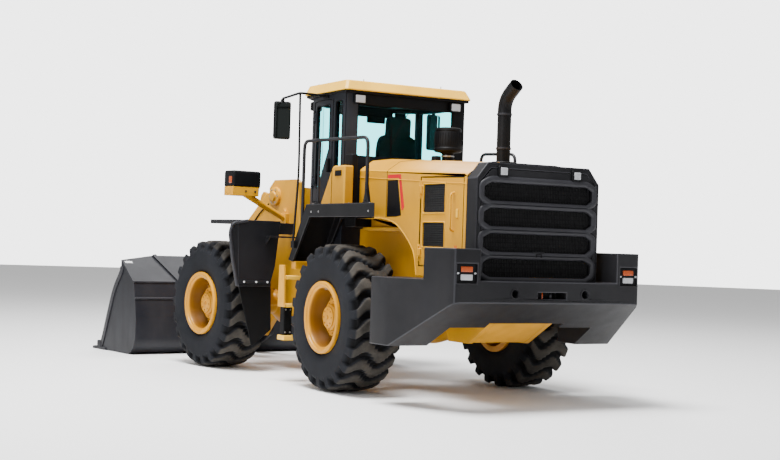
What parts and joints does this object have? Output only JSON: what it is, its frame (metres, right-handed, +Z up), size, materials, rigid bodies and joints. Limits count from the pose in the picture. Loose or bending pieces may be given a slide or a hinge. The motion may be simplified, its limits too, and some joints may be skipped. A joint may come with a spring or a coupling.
{
  "type": "articulated wheel loader",
  "caption": "Articulated wheel loader with a Z-bar bucket linkage, cab, hinged engine doors, decks with guard rails and a rear counterweight.",
  "frame": {"origin": "bottom centre of the bounding box as stored: on the ground, with the front group turned six degrees to its left", "axes": "+Z up; +Y forward along the rear frame, towards the bucket; +X to the machine's right"},
  "size_m": [3.4206, 8.5426, 3.5],
  "materials": {
    "black_paint": "satin",
    "cab_paint": "satin",
    "chromed_rod": "polished",
    "cream_paint": "satin",
    "dark_cloth": "woven",
    "grey_paint": "satin, scuffed",
    "plain_iron": "rough",
    "tinted_glass": "clear, tinted",
    "tyre_rubber": "worn",
    "yellow_paint": "gloss, worn"
  },
  "bodies": {
    "rear_frame": {"rear_axle": "yellow_paint", "rear_frame": "yellow_paint", "engine_block": "plain_iron", "counterweight": "grey_paint", "hood": "yellow_paint", "rear_cowl": "grey_paint", "exhaust_stack": "black_paint", "air_precleaner": "black_paint", "deck_left": "black_paint", "ladder_left": "yellow_paint", "mirror_left": "black_paint", "deck_right": "black_paint", "ladder_right": "yellow_paint", "mirror_right": "black_paint", "tool_cabinet": "yellow_paint", "cab_frame": "cab_paint", "cab_roof": "cream_paint", "windscreen": "tinted_glass", "rear_window": "tinted_glass", "quarter_window": "tinted_glass", "right_window": "tinted_glass", "seat": "dark_cloth", "steering_column": "black_paint"},
    "front_frame": {"front_axle": "yellow_paint", "front_frame": "yellow_paint", "front_mudguard_left": "grey_paint", "headlamp_left": "black_paint", "front_mudguard_right": "grey_paint", "headlamp_right": "black_paint"},
    "grille_door": {"grille_door": "grey_paint"},
    "cab_door": {"cab_door": "cab_paint", "cab_door_glass": "tinted_glass"},
    "boom": {"boom": "yellow_paint"},
    "bellcrank": {"bellcrank": "yellow_paint"},
    "bucket": {"bucket": "grey_paint"},
    "tilt_link": {"tilt_link": "yellow_paint"},
    "tilt_barrel": {"tilt_barrel": "yellow_paint"},
    "tilt_rod": {"tilt_rod": "chromed_rod"},
    "engine_door_left": {"engine_door_left": "yellow_paint"},
    "lift_left_barrel": {"lift_left_barrel": "yellow_paint"},
    "lift_left_rod": {"lift_left_rod": "chromed_rod"},
    "steer_left_barrel": {"steer_left_barrel": "yellow_paint"},
    "steer_left_rod": {"steer_left_rod": "chromed_rod"},
    "wheel_rear_left": {"tyre_rear_left": "tyre_rubber", "rim_rear_left": "yellow_paint"},
    "wheel_front_left": {"tyre_front_left": "tyre_rubber", "rim_front_left": "yellow_paint"},
    "engine_door_right": {"engine_door_right": "yellow_paint"},
    "lift_right_barrel": {"lift_right_barrel": "yellow_paint"},
    "lift_right_rod": {"lift_right_rod": "chromed_rod"},
    "steer_right_barrel": {"steer_right_barrel": "yellow_paint"},
    "steer_right_rod": {"steer_right_rod": "chromed_rod"},
    "wheel_rear_right": {"tyre_rear_right": "tyre_rubber", "rim_rear_right": "yellow_paint"},
    "wheel_front_right": {"tyre_front_right": "tyre_rubber", "rim_front_right": "yellow_paint"}
  },
  "joints": [
    {"name": "steering", "type": "hinge", "parent": "rear_frame", "child": "front_frame", "pos_m": [0.2733, -0.47129, 1.2], "axis": [0, 0, 1], "range_deg": [-44, 32]},
    {"name": "boom_lift", "type": "hinge", "parent": "front_frame", "child": "boom", "pos_m": [0.14264, 0.77186, 2.19], "axis": [0.9945, 0.1045, 0], "range_deg": [-2, 88]},
    {"name": "bucket_dump", "type": "hinge", "parent": "boom", "child": "bucket", "pos_m": [-0.05074, 2.61172, 0.36], "axis": [-0.9945, -0.1045, 0], "range_deg": [-45, 130]},
    {"name": "bellcrank_turn", "type": "hinge", "parent": "boom", "child": "bellcrank", "pos_m": [0.00989, 2.0349, 1.3], "axis": [0.9945, 0.1045, 0], "range_deg": [-10, 28.5]},
    {"name": "tilt_link_turn", "type": "hinge", "parent": "bucket", "child": "tilt_link", "pos_m": [-0.05053, 2.60974, 0.702], "axis": [0.9945, 0.1045, 0], "range_deg": [-24, 69]},
    {"name": "tilt_barrel_turn", "type": "hinge", "parent": "front_frame", "child": "tilt_barrel", "pos_m": [0.16668, 0.54312, 1.98], "axis": [0.9945, 0.1045, 0], "range_deg": [-1.5, 57.5]},
    {"name": "tilt_rod_slide", "type": "slide", "parent": "tilt_barrel", "child": "tilt_rod", "axis": [-0.1031, 0.9808, 0.1656], "range_m": [-0.345, 0.12]},
    {"name": "lift_left_barrel_turn", "type": "hinge", "parent": "front_frame", "child": "lift_left_barrel", "pos_m": [-0.11682, 0.13123, 1.15], "axis": [0.9945, 0.1045, 0], "range_deg": [-1.2, 42]},
    {"name": "lift_left_rod_slide", "type": "slide", "parent": "lift_left_barrel", "child": "lift_left_rod", "axis": [-0.104, 0.9894, 0.1011], "range_m": [-0.025, 0.985]},
    {"name": "lift_right_barrel_turn", "type": "hinge", "parent": "front_frame", "child": "lift_right_barrel", "pos_m": [0.52962, 0.19917, 1.15], "axis": [0.9945, 0.1045, 0], "range_deg": [-1.2, 42]},
    {"name": "lift_right_rod_slide", "type": "slide", "parent": "lift_right_barrel", "child": "lift_right_rod", "axis": [-0.104, 0.9894, 0.1011], "range_m": [-0.025, 0.985]},
    {"name": "steer_left_barrel_turn", "type": "hinge", "parent": "rear_frame", "child": "steer_left_barrel", "pos_m": [-0.3867, -1.42129, 0.9], "axis": [0, 0, 1], "range_deg": [-6.5, 4.8]},
    {"name": "steer_left_rod_slide", "type": "slide", "parent": "steer_left_barrel", "child": "steer_left_rod", "axis": [0.2232, 0.9748, 0], "range_m": [-0.224, 0.307]},
    {"name": "steer_right_barrel_turn", "type": "hinge", "parent": "rear_frame", "child": "steer_right_barrel", "pos_m": [0.9333, -1.42129, 0.9], "axis": [0, 0, 1], "range_deg": [-5.6, 4.1]},
    {"name": "steer_right_rod_slide", "type": "slide", "parent": "steer_right_barrel", "child": "steer_right_rod", "axis": [-0.2531, 0.9674, 0], "range_m": [-0.317, 0.231]},
    {"name": "wheel_rear_left_spin", "type": "hinge", "parent": "rear_frame", "child": "wheel_rear_left", "pos_m": [-0.8567, -2.07129, 0.8], "axis": [1, 0, 0], "continuous": true},
    {"name": "wheel_rear_right_spin", "type": "hinge", "parent": "rear_frame", "child": "wheel_rear_right", "pos_m": [1.4033, -2.07129, 0.8], "axis": [1, 0, 0], "continuous": true},
    {"name": "wheel_front_left_spin", "type": "hinge", "parent": "front_frame", "child": "wheel_front_left", "pos_m": [-1.01775, 1.00182, 0.8], "axis": [0.9945, 0.1045, 0], "continuous": true},
    {"name": "wheel_front_right_spin", "type": "hinge", "parent": "front_frame", "child": "wheel_front_right", "pos_m": [1.22987, 1.23806, 0.8], "axis": [0.9945, 0.1045, 0], "continuous": true},
    {"name": "cab_door_swing", "type": "hinge", "parent": "rear_frame", "child": "cab_door", "pos_m": [-0.50535, -0.47129, 2.7], "axis": [0, 0, -1], "range_deg": [0, 80]},
    {"name": "engine_door_left_swing", "type": "hinge", "parent": "rear_frame", "child": "engine_door_left", "pos_m": [-0.4892, -2.96129, 1.8], "axis": [0, 0, -1], "range_deg": [0, 90]},
    {"name": "engine_door_right_swing", "type": "hinge", "parent": "rear_frame", "child": "engine_door_right", "pos_m": [1.0358, -2.96129, 1.8], "axis": [0, 0, 1], "range_deg": [0, 90]},
    {"name": "grille_door_swing", "type": "hinge", "parent": "rear_frame", "child": "grille_door", "pos_m": [0.9883, -4.04379, 1.8], "axis": [0, 0, 1], "range_deg": [0, 90]}
  ],
  "couplings": [
    {"joint": "bellcrank_turn", "follows": "bucket_dump", "ratio": 0.21},
    {"joint": "tilt_link_turn", "follows": "bucket_dump", "ratio": 0.525},
    {"joint": "tilt_barrel_turn", "follows": "boom_lift", "ratio": 0.649},
    {"joint": "tilt_rod_slide", "follows": "bucket_dump", "m_per_rad": -0.15},
    {"joint": "lift_left_barrel_turn", "follows": "boom_lift", "ratio": 0.475},
    {"joint": "lift_left_rod_slide", "follows": "boom_lift", "m_per_rad": 0.639},
    {"joint": "lift_right_barrel_turn", "follows": "boom_lift", "ratio": 0.475},
    {"joint": "lift_right_rod_slide", "follows": "boom_lift", "m_per_rad": 0.639},
    {"joint": "steer_left_barrel_turn", "follows": "steering", "ratio": 0.145},
    {"joint": "steer_left_rod_slide", "follows": "steering", "m_per_rad": -0.398},
    {"joint": "steer_right_barrel_turn", "follows": "steering", "ratio": 0.123},
    {"joint": "steer_right_rod_slide", "follows": "steering", "m_per_rad": 0.411}
  ]
}
